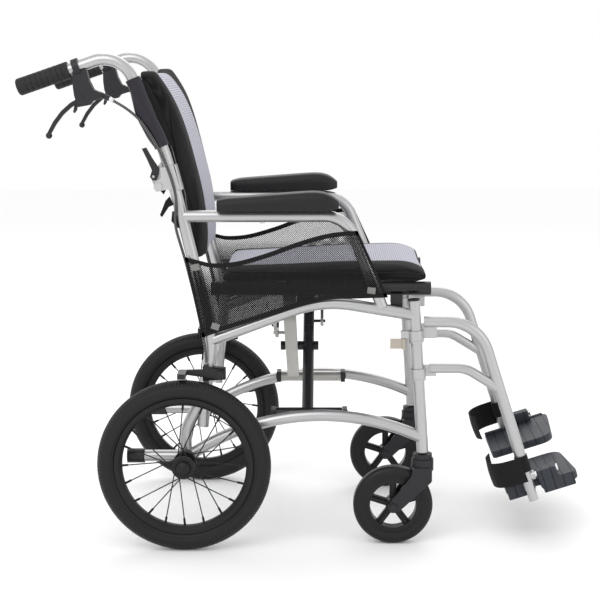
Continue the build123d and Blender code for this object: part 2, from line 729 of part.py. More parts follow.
for side_name, lift in (("right", 0.0), ("left", left_raise)):
    with BuildPart() as hanger:
        leg_side = side(-leg_y)
        tube_run = [(452, upper_tube_z), leg_point(leg_bend_n), leg_point(leg_end_n + lift)]
        add(swept(tube_run, [80], tube_r, 0, leg_side))
        add(swept([leg_point(leg_end_n + lift + 1), leg_point(slide_end_n + lift)], None, slide_r,
            0, leg_side))
        add(swept([(463, strut_z), (532, strut_z), (597, 298)], [60], tube_r - 1.5, 0, leg_side))
        for z in (upper_collar_z, lower_collar_z):
            with BuildSketch(post_plane(z).offset(-collar_h / 2)):
                Circle(collar_out)
            extrude(amount=collar_h)
        add(box_between(442, 476, -leg_y - 5, -leg_y + 5, upper_collar_z - 8, upper_tube_z - 4))
        add(box_between(448, 476, -leg_y - 5, -leg_y + 5, lower_collar_z - 8, strut_z + 6))
        add(box_between(release_x - 6, 428, frame_mid - 5, frame_mid + 5, upper_collar_z - 5,
            upper_collar_z + 8))
        add(swept([(release_x, upper_collar_z), (release_x, upper_collar_z - 28)], None, release_pin_r))
        add(foot_rod(boss_back, boss_front, -leg_y, flip_h + lift, 9))
        add(foot_rod(boss_front - 7, boss_front + 1, -leg_y, flip_h + lift, pin_r + 0.3),
            mode=Mode.SUBTRACT)
        add(collar_bore, mode=Mode.SUBTRACT)
    keep(hanger, side_name, "hanger")

    with BuildPart() as release_lever:
        add(box_between(388, release_x, frame_mid - 1.5, frame_mid + 1.5, upper_collar_z - 26,
            upper_collar_z - 7))
        add(swept([(release_x, upper_collar_z - 27), (release_x, upper_collar_z - 6)], None, 4.5))
        add(swept([(release_x, upper_collar_z - 30), (release_x, upper_collar_z)], None,
            release_pin_r + 0.3),
            mode=Mode.SUBTRACT)
    keep(release_lever, side_name, "release_lever")

    with BuildPart() as footplate_pin:
        add(foot_rod(boss_front - 6.5, pin_front + 2, -leg_y, flip_h + lift, pin_r))
        add(foot_rod(pin_front + 0.6, pin_front + 3.5, -leg_y, flip_h + lift, pin_r + 3))
    keep(footplate_pin, side_name, "footplate_pin")

    with BuildPart() as footplate:
        add(foot_solid([(-46, -20), (82, -20), (98, -190), (22, -190), (22, -160), (-46, -160)],
            lift - plate_t, lift, 3))
        add(foot_solid([(23, -178), (95, -178), (96, -190), (23, -190)], lift + skirt_n, lift - 2, 2))
        add(foot_solid([(19, -163), (pin_front, -163), (pin_front, -189), (19, -189)], lift - 2,
            lift + block_n, 2))
        add(foot_rod(15, 62, -leg_y, flip_h + lift, pin_r + 0.3), mode=Mode.SUBTRACT)
    keep(footplate, side_name, "footplate")

    with BuildPart() as heel_loop:
        middle = foot_plane((loop_n[0] + loop_n[1]) / 2 + lift)
        loop_height = loop_n[1] - loop_n[0]
        ring_y = -leg_y - loop_in - loop_t / 2
        with BuildLine(middle) as loop_line:
            FilletPolyline((0, ring_y), (-36, ring_y), (-64, -168), (-64, -124), (-54, -100),
                radius=[24, 20, 20])
        with BuildSketch(Plane(origin=loop_line.line @ 0, x_dir=middle.z_dir, z_dir=loop_line.line % 0)):
            Rectangle(loop_height, loop_t)
        sweep()
        with BuildSketch(foot_plane(ring_n + lift)):
            with Locations((0, -leg_y)):
                Circle(loop_in + loop_t)
                Circle(loop_in, mode=Mode.SUBTRACT)
        extrude(amount=loop_n[1] - ring_n)
    keep(heel_loop, side_name, "heel_loop")

# --- cross brace, seat rails and side links -------------------------------------------------
turned_link_x = brace_a_x + brace_b_x - link_x
knob_r = 9.0
centre_bolt_r = 5.0
channel = (24.0, 14.0)
wall = 2.0
link_bolt_r = 3.0
link_half = 9.0
slot_half = 5.4
slot_reach = (86.0, 117.5)
link_rest = radians(-19.75)
link_bolt_at = (-63.9, 385.5)
brace_points = [(-brace_y, brace_z), (143, 432.8), (rail_y, rail_z - rail_r + 2)]
rail_solid = cylinder_x(rail_y, rail_z, rail_r, rail_rear, rail_front)

with BuildPart() as cross_a:
    add(swept(brace_points, [35], brace_d / 2, 0, across(brace_a_x)))
    add(cylinder_x(-brace_y, brace_z, sleeve_r, sleeve_rear, sleeve_front))
    add(swept(brace_points, [35], brace_d / 2 - wall, 0, across(brace_a_x)), mode=Mode.SUBTRACT)
    add(cylinder_x(-brace_y, brace_z, rod_r + 0.4, sleeve_rear, sleeve_front), mode=Mode.SUBTRACT)
    add(rail_solid, mode=Mode.SUBTRACT)
    add(cylinder_x(0, brace_mid_z, knob_r, brace_b_x + channel[0] / 2 + running_gap, brace_a_x))
    add(cylinder_x(0, brace_mid_z, centre_bolt_r, brace_b_x - channel[0] / 2 - 9, brace_a_x + 18))
    add(cylinder_x(0, brace_mid_z, knob_r, brace_b_x - channel[0] / 2 - 10,
        brace_b_x - channel[0] / 2 - 0.5))
    add(cylinder_x(0, brace_mid_z, knob_r, brace_a_x + 10, brace_a_x + 20))
    add(cylinder_x(-link_bolt_at[0], link_bolt_at[1], link_bolt_r, brace_a_x,
        turned_link_x + link_t / 2 + 4))
save(cross_a, "cross_a")

with BuildPart() as cross_b:
    with BuildLine(across(brace_b_x)) as b_line:
        FilletPolyline(*[(-y, z) for y, z in brace_points], radius=35)
    with BuildSketch(Plane(origin=b_line.line @ 0, x_dir=(1, 0, 0), z_dir=b_line.line % 0)):
        Rectangle(*channel)
    sweep()
    add(cylinder_x(brace_y, brace_z, sleeve_r, sleeve_rear, sleeve_front))
    add(cylinder_x(brace_y, brace_z, rod_r + 0.4, sleeve_rear, sleeve_front), mode=Mode.SUBTRACT)
    add(cylinder_x(0, brace_mid_z, centre_bolt_r + 0.3, brace_b_x - 20, brace_b_x + 20), mode=Mode.SUBTRACT)
    add(cylinder_x(*link_bolt_at, link_bolt_r, link_x - link_t / 2 - 4, brace_b_x))
    add(cylinder_x(-rail_y, rail_z, rail_r, rail_rear, rail_front), mode=Mode.SUBTRACT)
save(cross_b, "cross_b")

for side_name, sign in (("right", -1), ("left", 1)):
    with BuildPart() as seat_rail:
        add(cylinder_x(sign * rail_y, rail_z, rail_r, rail_rear, rail_front))
        add(cylinder_x(sign * rail_y, rail_z, rail_r - wall, rail_rear - 1, rail_front + 1),
            mode=Mode.SUBTRACT)
    save(seat_rail, f"{side_name}_seat_rail")

link_plane = Plane(
    origin=(axle_x + link_x - link_t / 2, *link_pivot), x_dir=(0, cos(link_rest), sin(link_rest)),
        z_dir=(1, 0, 0))
with BuildPart() as side_link:
    with BuildSketch(link_plane):
        with Locations((slot_reach[1] / 2 + 1, 0)):
            SlotCenterToCenter(slot_reach[1] + 2, 2 * link_half)
        with Locations((sum(slot_reach) / 2, 0)):
            SlotCenterToCenter(slot_reach[1] - slot_reach[0], 2 * slot_half, mode=Mode.SUBTRACT)
        Circle(link_pin_r + 0.3, mode=Mode.SUBTRACT)
    extrude(amount=link_t)
save(side_link, "right_side_link")

with BuildPart() as turned_link:
    add(side_link.part.rotate(turn_axis, 180))
save(turned_link, "left_side_link")

# --- fittings on each side frame ------------------------------------------------------------
rests = {"right": ((213, 247, 452), (389, 411, 440)), "left": ((183, 217, 446), (389, 411, 440))}
for side_name in ("right", "left"):
    with BuildPart() as frame_fittings:
        for piece in (hinge_bracket, brake_bracket, stomp_cap, post_plug, brace_rod, axle_bolt):
            add(piece.part)
        for span in rests[side_name]:
            add(rail_rest(*span))
        if side_name == "right":
            add(link_lug(450))
        else:
            add(mirror(link_lug(472).rotate(turn_axis, 180), about=Plane.XZ, mode=Mode.PRIVATE))
        add(upper_core, mode=Mode.SUBTRACT)
    keep(frame_fittings, side_name, "frame_fittings")

# --- seat and back upholstery ---------------------------------------------------------------
seat_floor = rail_z + rail_r + 0.4
back_half = 172.0
cloth_t = 2.0
seat_side = [
    (62, seat_floor), (62, seat_top - 6), (72, seat_top), (426, seat_top), (450, seat_top - 12),
    (464, seat_top - 34), (463, seat_floor),
]
seat_cushion_part = plate_y(seat_side, -seat_half, seat_half, 4)
with BuildPart() as seat_cushion:
    add(seat_cushion_part)
save(seat_cushion, "seat_cushion")

back_side = [
    (-62, 903), (-12, 842), (25, 745), (48, 668), (58, 600), (56, 540),
    (18, 540), (22, 600), (8, 668), (-15, 745), (-50, 842), (-85, 890),
]
with BuildPart(mode=Mode.PRIVATE) as sleeve:
    add(swept([cane_rear, cane_bend, cane_low, cane_foot], [55, 200], tube_r + 0.35 + cloth_t))
    add(box_between(-110, 30, -frame_y - 20, -frame_y + 40, 756, 884), mode=Mode.INTERSECT)
with BuildPart() as back_upholstery:
    add(plate_y(back_side, -back_half, back_half))
    add(sleeve.part)
    add(plate_y([(-74, 868), (-60, 872), (-28, 776), (-42, 770)], -frame_y, -back_half + 2))
    add(mirror(sleeve.part, about=Plane.XZ, mode=Mode.PRIVATE))
    add(plate_y([(-74, 868), (-60, 872), (-28, 776), (-42, 770)], back_half - 2, frame_y))
    tube_space = swept([cane_rear, cane_bend, cane_low, cane_foot], [55, 200], tube_r + 0.35)
    add(tube_space, mode=Mode.SUBTRACT)
    add(mirror(tube_space, about=Plane.XZ, mode=Mode.PRIVATE), mode=Mode.SUBTRACT)
save(back_upholstery, "back_upholstery")

# --- the other side frame -------------------------------------------------------------------
single_pieces = (
    "rear_post", "front_post", "upper_arch", "lower_arch", "armrest_tube", "armrest_pad", "side_panel",
    "tyre", "wheel", "caster_tyre", "caster_wheel", "fork", "upper_cane", "grip", "lever_housing",
    "brake_lever", "lock_trigger", "fold_lever", "brake_arm", "brake_cable",
)
for name in single_pieces:
    with BuildPart() as twin:
        add(mirror(pieces[f"right_{name}"], about=Plane.XZ, mode=Mode.PRIVATE))
    save(twin, f"left_{name}")

print(len(pieces), "pieces")
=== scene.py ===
# Transport wheelchair: materials, soft goods and trim round the fixed frame. Metres, +X forward, +Z up.
from math import cos, pi, radians, sin

import bpy
from mathutils import Matrix, Vector


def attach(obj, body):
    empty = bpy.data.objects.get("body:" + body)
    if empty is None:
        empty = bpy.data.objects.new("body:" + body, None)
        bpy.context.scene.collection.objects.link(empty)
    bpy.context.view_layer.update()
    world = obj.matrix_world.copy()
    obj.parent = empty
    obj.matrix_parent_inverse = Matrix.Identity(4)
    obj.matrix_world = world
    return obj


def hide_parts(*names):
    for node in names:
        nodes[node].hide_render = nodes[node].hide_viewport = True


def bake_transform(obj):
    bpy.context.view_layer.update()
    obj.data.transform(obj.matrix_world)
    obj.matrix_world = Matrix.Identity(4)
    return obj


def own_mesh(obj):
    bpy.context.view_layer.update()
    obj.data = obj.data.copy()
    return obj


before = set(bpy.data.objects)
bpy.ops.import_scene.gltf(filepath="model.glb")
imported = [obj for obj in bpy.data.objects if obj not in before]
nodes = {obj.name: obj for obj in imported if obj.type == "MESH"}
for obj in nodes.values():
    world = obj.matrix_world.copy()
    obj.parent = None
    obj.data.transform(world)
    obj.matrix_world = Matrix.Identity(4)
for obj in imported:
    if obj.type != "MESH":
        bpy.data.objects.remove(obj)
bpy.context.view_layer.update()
print("frame loaded", len(nodes), "nodes")

axleX = -0.227      # rear axle, forward place
axleZ = 0.164       # rear axle, height
frameY = 0.190      # middle of each side frame
sideSigns = {"right": -1, "left": 1}


def deselect():
    for thing in bpy.context.selected_objects:
        thing.select_set(False)


def pick(thing):
    # make one object the only selected and active one
    deselect()
    thing.hide_viewport = False
    thing.select_set(True)
    bpy.context.view_layer.objects.active = thing


deselect()

# camera, light and floor
camera = {"place": (0.041, -2.965, 0.942), "lens": 90.06, "pitch": 9.613, "yaw": 1.022, "roll": -0.187}
studio = {"key": 30, "fill": 9, "rim": 24, "world": 1.0, "floor": (0.97, 0.97, 0.97)}


def makeCamera():
    bpy.ops.object.camera_add(location=camera["place"])
    view = bpy.context.object
    turn = (Matrix.Rotation(radians(camera["yaw"]), 3, "Z")
            @ Matrix.Rotation(radians(90 - camera["pitch"]), 3, "X")
            @ Matrix.Rotation(radians(camera["roll"]), 3, "Z"))
    view.rotation_euler = turn.to_euler()
    view.data.lens = camera["lens"]
    view.data.sensor_width = 36
    bpy.context.scene.camera = view


def areaLight(name, place, target, size, power):
    bpy.ops.object.light_add(type="AREA", location=place)
    lamp = bpy.context.object
    lamp.name = name
    lamp.data.energy = power
    lamp.data.size = size
    lamp.rotation_euler = (Vector(target) - Vector(place)).to_track_quat("-Z", "Y").to_euler()


def makeStudio():
    areaLight("keyLight", (-1.2, -2.4, 2.6), (0, 0, 0.45), 2.2, studio["key"])
    areaLight("fillLight", (2.4, -1.6, 1.3), (0.1, 0, 0.4), 2.0, studio["fill"])
    areaLight("rimLight", (0.2, 1.8, 2.7), (0, 0, 0.5), 2.4, studio["rim"])
    world = bpy.data.worlds.new("studioWorld")
    bpy.context.scene.world = world
    world.use_nodes = True
    sky = world.node_tree.nodes["Background"]
    sky.inputs["Color"].default_value = (1, 1, 1, 1)
    sky.inputs["Strength"].default_value = studio["world"]
    bpy.ops.mesh.primitive_plane_add(size=14, location=(0, 0, -0.0005))
    floor = bpy.context.object
    floor.name = "floor"
    paint = bpy.data.materials.new("floorPaint")
    paint.use_nodes = True
    shader = paint.node_tree.nodes["Principled BSDF"]
    shader.inputs["Base Color"].default_value = (*studio["floor"], 1)
    shader.inputs["Roughness"].default_value = 0.9
    floor.data.materials.append(paint)


makeCamera()
makeStudio()
bpy.context.scene.view_settings.view_transform = "Standard"
print("camera and light set")


class Sheet:
    # a material being built: short calls for its nodes and links
    def __init__(self, name, **sockets):
        self.material = bpy.data.materials.new(name)
        self.material.use_nodes = True
        self.tree = self.material.node_tree
        self.shader = self.tree.nodes["Principled BSDF"]
        for socket, value in sockets.items():
            self.shader.inputs[socket.replace("_", " ")].default_value = value
        self.where = self.add("ShaderNodeTexCoord").outputs["Object"]

    def add(self, kind, **values):
        node = self.tree.nodes.new(kind)
        for key, value in values.items():
            setattr(node, key, value)
        return node

    def feed(self, socket, value):
        if isinstance(value, bpy.types.NodeSocket):
            self.tree.links.new(value, socket)
        else:
            socket.default_value = value

    def math(self, operation, *values):
        node = self.add("ShaderNodeMath", operation=operation)
        for socket, value in zip(node.inputs, values):
            self.feed(socket, value)
        return node.outputs[0]

    def parts(self):
        node = self.add("ShaderNodeSeparateXYZ")
        self.feed(node.inputs[0], self.where)
        return node.outputs

    def noise(self, scale):
        node = self.add("ShaderNodeTexNoise")
        self.feed(node.inputs["Vector"], self.where)
        node.inputs["Scale"].default_value = scale
        node.inputs["Detail"].default_value = 3
        return node.outputs["Fac"]

    def span(self, value, low, high, out0=0.0, out1=1.0):
        node = self.add("ShaderNodeMapRange")
        for socket, number in zip(node.inputs, (value, low, high, out0, out1)):
            self.feed(socket, number)
        return node.outputs[0]

    def mix(self, share, first, second):
        node = self.add("ShaderNodeMix", data_type="RGBA")
        self.feed(node.inputs[0], share)
        self.feed(node.inputs[6], (*first, 1) if isinstance(first, tuple) else first)
        self.feed(node.inputs[7], (*second, 1) if isinstance(second, tuple) else second)
        return node.outputs[2]

    def bump(self, height, strength, distance):
        node = self.add("ShaderNodeBump")
        node.inputs["Strength"].default_value = strength
        node.inputs["Distance"].default_value = distance
        self.feed(node.inputs["Height"], height)
        self.tree.links.new(node.outputs[0], self.shader.inputs["Normal"])

    def set(self, socket, value):
        self.feed(self.shader.inputs[socket], value)


def group(sheet, tree, **inputs):
    # place a shared node group in a material and set its inputs
    node = sheet.add("ShaderNodeGroup")
    node.node_tree = tree
    for name, value in inputs.items():
        sheet.feed(node.inputs[name], value)
    return node.outputs


def newGroup(name, inputs, outputs):
    tree = bpy.data.node_groups.new(name, "ShaderNodeTree")
    for socketName, kind, start in inputs:
        made = tree.interface.new_socket(name=socketName, in_out="INPUT", socket_type=kind)
        if start is not None:
            made.default_value = start
    for socketName, kind in outputs:
        tree.interface.new_socket(name=socketName, in_out="OUTPUT", socket_type=kind)
    return tree, tree.nodes.new("NodeGroupInput"), tree.nodes.new("NodeGroupOutput")


def surfaceWearGroup():
    # soft mottling and fine scuffs that every hard finish shares
    tree, start, end = newGroup(
        "surfaceWear",
        [("Vector", "NodeSocketVector", None), ("Base", "NodeSocketColor", (0.5, 0.5, 0.5, 1)),
         ("Rough", "NodeSocketFloat", 0.4), ("Amount", "NodeSocketFloat", 0.1)],
        [("Color", "NodeSocketColor"), ("Roughness", "NodeSocketFloat"), ("Height", "NodeSocketFloat")])
    new, link = tree.nodes.new, tree.links.new
    broad = new("ShaderNodeTexNoise")
    broad.inputs["Scale"].default_value = 14
    fine = new("ShaderNodeTexNoise")
    fine.inputs["Scale"].default_value = 900
    fine.inputs["Detail"].default_value = 2
    for texture in (broad, fine):
        link(start.outputs["Vector"], texture.inputs["Vector"])
    centred = new("ShaderNodeMath")
    centred.operation = "SUBTRACT"
    link(broad.outputs["Fac"], centred.inputs[0])
    centred.inputs[1].default_value = 0.5
    scaled = new("ShaderNodeMath")
    scaled.operation = "MULTIPLY"
    link(centred.outputs[0], scaled.inputs[0])
    link(start.outputs["Amount"], scaled.inputs[1])
    gain = new("ShaderNodeMath")
    gain.operation = "ADD"
    link(scaled.outputs[0], gain.inputs[0])
    gain.inputs[1].default_value = 1
    tint = new("ShaderNodeVectorMath")
    tint.operation = "SCALE"
    link(start.outputs["Base"], tint.inputs[0])
    link(gain.outputs[0], tint.inputs["Scale"])
    rough = new("ShaderNodeMath")
    rough.operation = "ADD"
    link(scaled.outputs[0], rough.inputs[0])
    link(start.outputs["Rough"], rough.inputs[1])
    link(tint.outputs[0], end.inputs["Color"])
    link(rough.outputs[0], end.inputs["Roughness"])
    link(fine.outputs["Fac"], end.inputs["Height"])
    return tree


surfaceWear = surfaceWearGroup()


def hardFinish(name, colour, rough, amount=0.15, grain=0.1, depth=0.0002, **sockets):
    sheet = Sheet(name, **sockets)
    worn = group(sheet, surfaceWear, Vector=sheet.where, Base=(*colour, 1), Rough=rough, Amount=amount)
    sheet.set("Base Color", worn["Color"])
    sheet.set("Roughness", worn["Roughness"])
    sheet.bump(worn["Height"], grain, depth)
    return sheet.material


dull = {"Specular_IOR_Level": 0.28}
satin = {"Specular_IOR_Level": 0.4}
clearCoat = {"Metallic": 0.88, "Coat_Weight": 0.2, "Coat_Roughness": 0.22}
silverPaint = hardFinish("silverPaint", (0.455, 0.455, 0.46), 0.33, 0.10, 0.12, 0.0001, **clearCoat)
blackPaint = hardFinish("blackPaint", (0.008, 0.008, 0.009), 0.30, 0.2, 0.1, 0.0001, **satin)
blackPlastic = hardFinish("blackPlastic", (0.010, 0.010, 0.013), 0.44, 0.25, 0.5, 0.0002, **satin)
wheelPlastic = hardFinish("wheelPlastic", (0.007, 0.007, 0.008), 0.38, 0.2, 0.3, 0.0002, **dull)
gripFoam = hardFinish("gripFoam", (0.006, 0.006, 0.007), 0.60, 0.2, 0.9, 0.0006, **satin)
casterRubber = hardFinish("casterRubber", (0.007, 0.007, 0.008), 0.40, 0.2, 0.3, 0.0002, **dull)
brightSteel = hardFinish("brightSteel", (0.66, 0.66, 0.68), 0.26, 0.15, 0.1, 0.0001, Metallic=1.0)
channelAlloy = hardFinish("channelAlloy", (0.42, 0.41, 0.39), 0.36, 0.2, 0.1, 0.0001, Metallic=0.8)
tanPlastic = hardFinish("tanPlastic", (0.40, 0.36, 0.31), 0.38, 0.15, 0.2, 0.0001, Metallic=0.25)


def tyreRubber(name):
    # smooth black rubber with short moulded ribs round the shoulder
    sheet = Sheet(name, **dull)
    x, y, z = sheet.parts()
    dx = sheet.math("SUBTRACT", x, axleX)
    dz = sheet.math("SUBTRACT", z, axleZ)
    squares = sheet.math("ADD", sheet.math("MULTIPLY", dx, dx), sheet.math("MULTIPLY", dz, dz))
    radius = sheet.math("SQRT", squares)
    angle = sheet.math("ARCTAN2", dz, dx)
    ribs = sheet.math("SINE", sheet.math("MULTIPLY", angle, 150.0))
    shoulder = sheet.math("MULTIPLY", sheet.span(radius, 0.1535, 0.1545), sheet.span(radius, 0.1625, 0.1618))
    treadRibs = sheet.math("MULTIPLY", ribs, shoulder)
    ring = sheet.math("MULTIPLY", sheet.span(radius, 0.1365, 0.137), sheet.span(radius, 0.1385, 0.138))
    height = sheet.math("ADD", treadRibs, ring)
    worn = group(sheet, surfaceWear, Vector=sheet.where, Base=(0.008, 0.008, 0.009, 1), Rough=0.5, Amount=0.2)
    sheet.set("Base Color", worn["Color"])
    sheet.set("Roughness", worn["Roughness"])
    sheet.bump(height, 0.8, 0.0009)
    return sheet.material


def weaveHeight(sheet, pitch, u, v):
    # crossed threads: a raised square pattern, pitch in metres
    first = sheet.math("SINE", sheet.math("MULTIPLY", u, 2 * pi / pitch))
    second = sheet.math("SINE", sheet.math("MULTIPLY", v, 2 * pi / pitch))
    return sheet.math("MULTIPLY", first, second)


def stripedFabric(name, along, grey, black, hem):
    # pale spacer cloth down the middle, black knitted cloth each side, with a stitched seam between
    sheet = Sheet(name, Sheen_Weight=0.06, Sheen_Roughness=0.5, Specular_IOR_Level=0.2)
    x, y, z = sheet.parts()
    run = {"x": x, "z": z}[along]
    away = sheet.math("ABSOLUTE", y)
    edge = sheet.span(run, *grey["edge"])
    side = sheet.span(sheet.math("SUBTRACT", away, edge), -0.0006, 0.0006)
    side = sheet.math("MAXIMUM", side, sheet.span(run, hem - 0.0006, hem + 0.0006))
    seam = sheet.math("MULTIPLY", sheet.span(sheet.math("SUBTRACT", away, edge), -0.004, -0.001),
                      sheet.span(sheet.math("SUBTRACT", away, edge), 0.004, 0.001))
    ribs = sheet.math("SINE", sheet.math("MULTIPLY", run, 2 * pi / 0.0042))
    fine = weaveHeight(sheet, 0.0026, y, run)
    paleHeight = sheet.math("ADD", sheet.math("MULTIPLY", ribs, 0.5), sheet.math("MULTIPLY", fine, 0.4))
    darkHeight = weaveHeight(sheet, 0.0036, sheet.math("ADD", y, run), sheet.math("SUBTRACT", y, run))
    mottle = sheet.noise(60)
    pale = sheet.mix(sheet.span(paleHeight, -0.6, 0.7), grey["low"], grey["high"])
    pale = sheet.mix(sheet.math("MULTIPLY", mottle, 0.25), pale, (0.33, 0.33, 0.38))
    dark = sheet.mix(sheet.span(darkHeight, -0.4, 0.8), black["low"], black["high"])
    colour = sheet.mix(side, pale, dark)
    sheet.set("Base Color", sheet.mix(seam, colour, (0.012, 0.012, 0.013)))
    sheet.set("Roughness", 0.85)
    height = sheet.math("ADD", sheet.math("MULTIPLY", darkHeight, side),
                        sheet.math("MULTIPLY", paleHeight, sheet.math("SUBTRACT", 1.0, side)))
    sheet.bump(sheet.math("SUBTRACT", height, sheet.math("MULTIPLY", seam, 2.0)), 0.5, 0.0007)
    return sheet.material


paleCloth = {"low": (0.30, 0.30, 0.35), "high": (0.58, 0.58, 0.65)}
darkCloth = {"low": (0.002, 0.002, 0.002), "high": (0.022, 0.022, 0.023)}
# the pale stripe's edge: from, to, and half width at each; the last value is where a black hem begins
seatStripe = dict(paleCloth, edge=(-0.16, 0.24, 0.112, 0.131))
backStripe = dict(paleCloth, edge=(0.54, 0.90, 0.112, 0.104))
noHem = 2.0
seatFabric = stripedFabric("seatFabric", "x", seatStripe, darkCloth, 0.222)
backFabric = stripedFabric("backFabric", "z", backStripe, darkCloth, noHem)


def plainCloth(name, colour, pitch, rough=0.8):
    sheet = Sheet(name, Sheen_Weight=0.05, Specular_IOR_Level=0.2)
    x, y, z = sheet.parts()
    height = weaveHeight(sheet, pitch, sheet.math("ADD", x, y), sheet.math("ADD", z, y))
    low = tuple(0.5 * c for c in colour)
    sheet.set("Base Color", sheet.mix(sheet.span(height, -0.5, 0.8), low, colour))
    sheet.set("Roughness", rough)
    sheet.bump(height, 0.45, 0.0005)
    return sheet.material


blackWebbing = plainCloth("blackWebbing", (0.010, 0.010, 0.011), 0.0022)
pipingCloth = plainCloth("pipingCloth", (0.009, 0.009, 0.010), 0.0016, 0.65)
sleeveVinyl = hardFinish("sleeveVinyl", (0.011, 0.009, 0.016), 0.42, 0.25, 0.6, 0.0003,
                         Specular_IOR_Level=0.35)
armVinyl = hardFinish("armVinyl", (0.006, 0.006, 0.007), 0.44, 0.2, 0.8, 0.0003, Specular_IOR_Level=0.32)


def netCloth():
    # open net: thin diagonal threads with clear holes between them
    sheet = Sheet("netCloth", Roughness=0.7, Specular_IOR_Level=0.15)
    x, y, z = sheet.parts()
    pitch = 0.0040
    first = sheet.math("SINE", sheet.math("MULTIPLY", sheet.math("ADD", x, z), 2 * pi / pitch))
    second = sheet.math("SINE", sheet.math("MULTIPLY", sheet.math("SUBTRACT", x, z), 2 * pi / pitch))
    edge = sheet.span(z, 0.492, 0.534, 0.70, -0.50)      # the net is doubled low down
    open1 = sheet.span(sheet.math("SUBTRACT", first, edge), -0.08, 0.08)
    open2 = sheet.span(sheet.math("SUBTRACT", second, edge), -0.08, 0.08)
    hole = sheet.math("MULTIPLY", open1, open2)
    sheet.set("Alpha", sheet.math("SUBTRACT", 1.0, hole))
    sheet.set("Base Color", sheet.mix(sheet.span(sheet.math("MULTIPLY", first, second), -1.0, 1.0),
                                      (0.003, 0.003, 0.003), (0.014, 0.014, 0.015)))
    sheet.bump(sheet.math("ADD", first, second), 0.4, 0.0004)
    return sheet.material


def cableCoat():
    # black sleeve with a pale thread wound round it
    sheet = Sheet("cableCoat", Roughness=0.4)
    x, y, z = sheet.parts()
    along = sheet.math("SUBTRACT", z, sheet.math("ADD", x, y))
    wound = sheet.math("SINE", sheet.math("MULTIPLY", along, 2 * pi / 0.0048))
    thread = sheet.span(wound, 0.72, 0.92)
    sheet.set("Base Color", sheet.mix(thread, (0.008, 0.008, 0.009), (0.26, 0.26, 0.27)))
    sheet.bump(wound, 0.4, 0.0004)
    return sheet.material


def grooved():
    # blue-black moulded plate with shallow cross grooves on its top, painted shade darkening the grooves
    sheet = Sheet("groovedPlastic", Specular_IOR_Level=0.35)
    x, y, z = sheet.parts()
    forward = sheet.math("ADD", sheet.math("MULTIPLY", x, 0.952), sheet.math("MULTIPLY", z, 0.306))
    wave = sheet.math("FRACT", sheet.math("DIVIDE", forward, 0.0185))
    groove = sheet.math("MULTIPLY", sheet.span(wave, 0.42, 0.46), sheet.span(wave, 0.56, 0.52))
    blueBlack = (0.022, 0.026, 0.034, 1)
    worn = group(sheet, surfaceWear, Vector=sheet.where, Base=blueBlack, Rough=0.42, Amount=0.3)
    # painted shade: the colour is made darker inside each groove
    sheet.set("Base Color", sheet.mix(groove, worn["Color"], (0.004, 0.004, 0.005)))
    sheet.set("Roughness", worn["Roughness"])
    sheet.bump(sheet.math("MULTIPLY", groove, -1.0), 0.8, 0.0012)
    return sheet.material


def fittingFinish():
    # bright hinge brackets up at the fold, black moulded fittings below
    sheet = Sheet("fittingFinish", Specular_IOR_Level=0.4)
    x, y, z = sheet.parts()
    high = sheet.span(z, 0.668, 0.670)
    black, bright = (0.010, 0.010, 0.012, 1), (0.50, 0.50, 0.505, 1)
    dark = group(sheet, surfaceWear, Vector=sheet.where, Base=black, Rough=0.42, Amount=0.2)
    pale = group(sheet, surfaceWear, Vector=sheet.where, Base=bright, Rough=0.34, Amount=0.1)
    sheet.set("Base Color", sheet.mix(high, dark["Color"], pale["Color"]))
    sheet.set("Roughness", dark["Roughness"])
    sheet.set("Metallic", sheet.math("MULTIPLY", high, 0.85))
    sheet.bump(dark["Height"], 0.2, 0.0001)
    return sheet.material


netMaterial = netCloth()
cableMaterial = cableCoat()
plateMaterial = grooved()


def dress(node, material):
    # give a frame node one material in place of its plain one
    node.data.materials.clear()
    node.data.materials.append(material)


finishes = {
    "rear_post": silverPaint, "lower_arch": silverPaint, "upper_arch": silverPaint, "front_post": silverPaint,
    "armrest_tube": silverPaint, "upper_cane": silverPaint, "hanger": silverPaint,
    "frame_fittings": fittingFinish(), "fold_lever": blackPlastic, "brake_arm": blackPaint,
    "lever_housing": blackPlastic, "brake_lever": blackPlastic, "lock_trigger": blackPlastic,
    "grip": gripFoam, "wheel": wheelPlastic, "fork": blackPlastic, "caster_wheel": wheelPlastic,
    "caster_tyre": casterRubber, "footplate_pin": brightSteel, "footplate": plateMaterial,
    "release_lever": tanPlastic, "side_link": channelAlloy, "seat_rail": blackPaint,
}
for side in sideSigns:
    for part, material in finishes.items():
        dress(nodes[f"{side}_{part}"], material)
    dress(nodes[f"{side}_tyre"], tyreRubber(f"{side}TyreRubber"))
dress(nodes["cross_a"], blackPaint)
dress(nodes["cross_b"], channelAlloy)
for node in nodes.values():
    pick(node)
    bpy.ops.object.shade_smooth_by_angle(angle=radians(32))
deselect()
print("frame finishes done")


def lookUp(table, at):
    # straight-line reading of a table of (position, value) pairs
    if at <= table[0][0]:
        return table[0][1]
    for (a, low), (b, high) in zip(table, table[1:]):
        if at <= b:
            return low + (high - low) * (at - a) / (b - a)
    return table[-1][1]


def easeUp(table, at):
    # a soft reading of a table of (position, value) pairs
    reach = 0.028
    near = [lookUp(table, at + reach * k / 4) for k in range(-4, 5)]
    share = [5 - abs(k) for k in range(-4, 5)]
    return sum(n * k for n, k in zip(near, share)) / sum(share)


def smoothRun(points, steps):
    # a soft run through given points
    points = [Vector(p) for p in points]
    padded = [2 * points[0] - points[1]] + points + [2 * points[-1] - points[-2]]
    run = []
    for a, b, c, d in zip(padded, padded[1:], padded[2:], padded[3:]):
        for i in range(steps):
            t = i / steps
            run.append(0.5 * (2 * b + (c - a) * t + (2 * a - 5 * b + 4 * c - d) * t * t
                              + (3 * b - a - 3 * c + d) * t * t * t))
    run.append(points[-1])
    return run


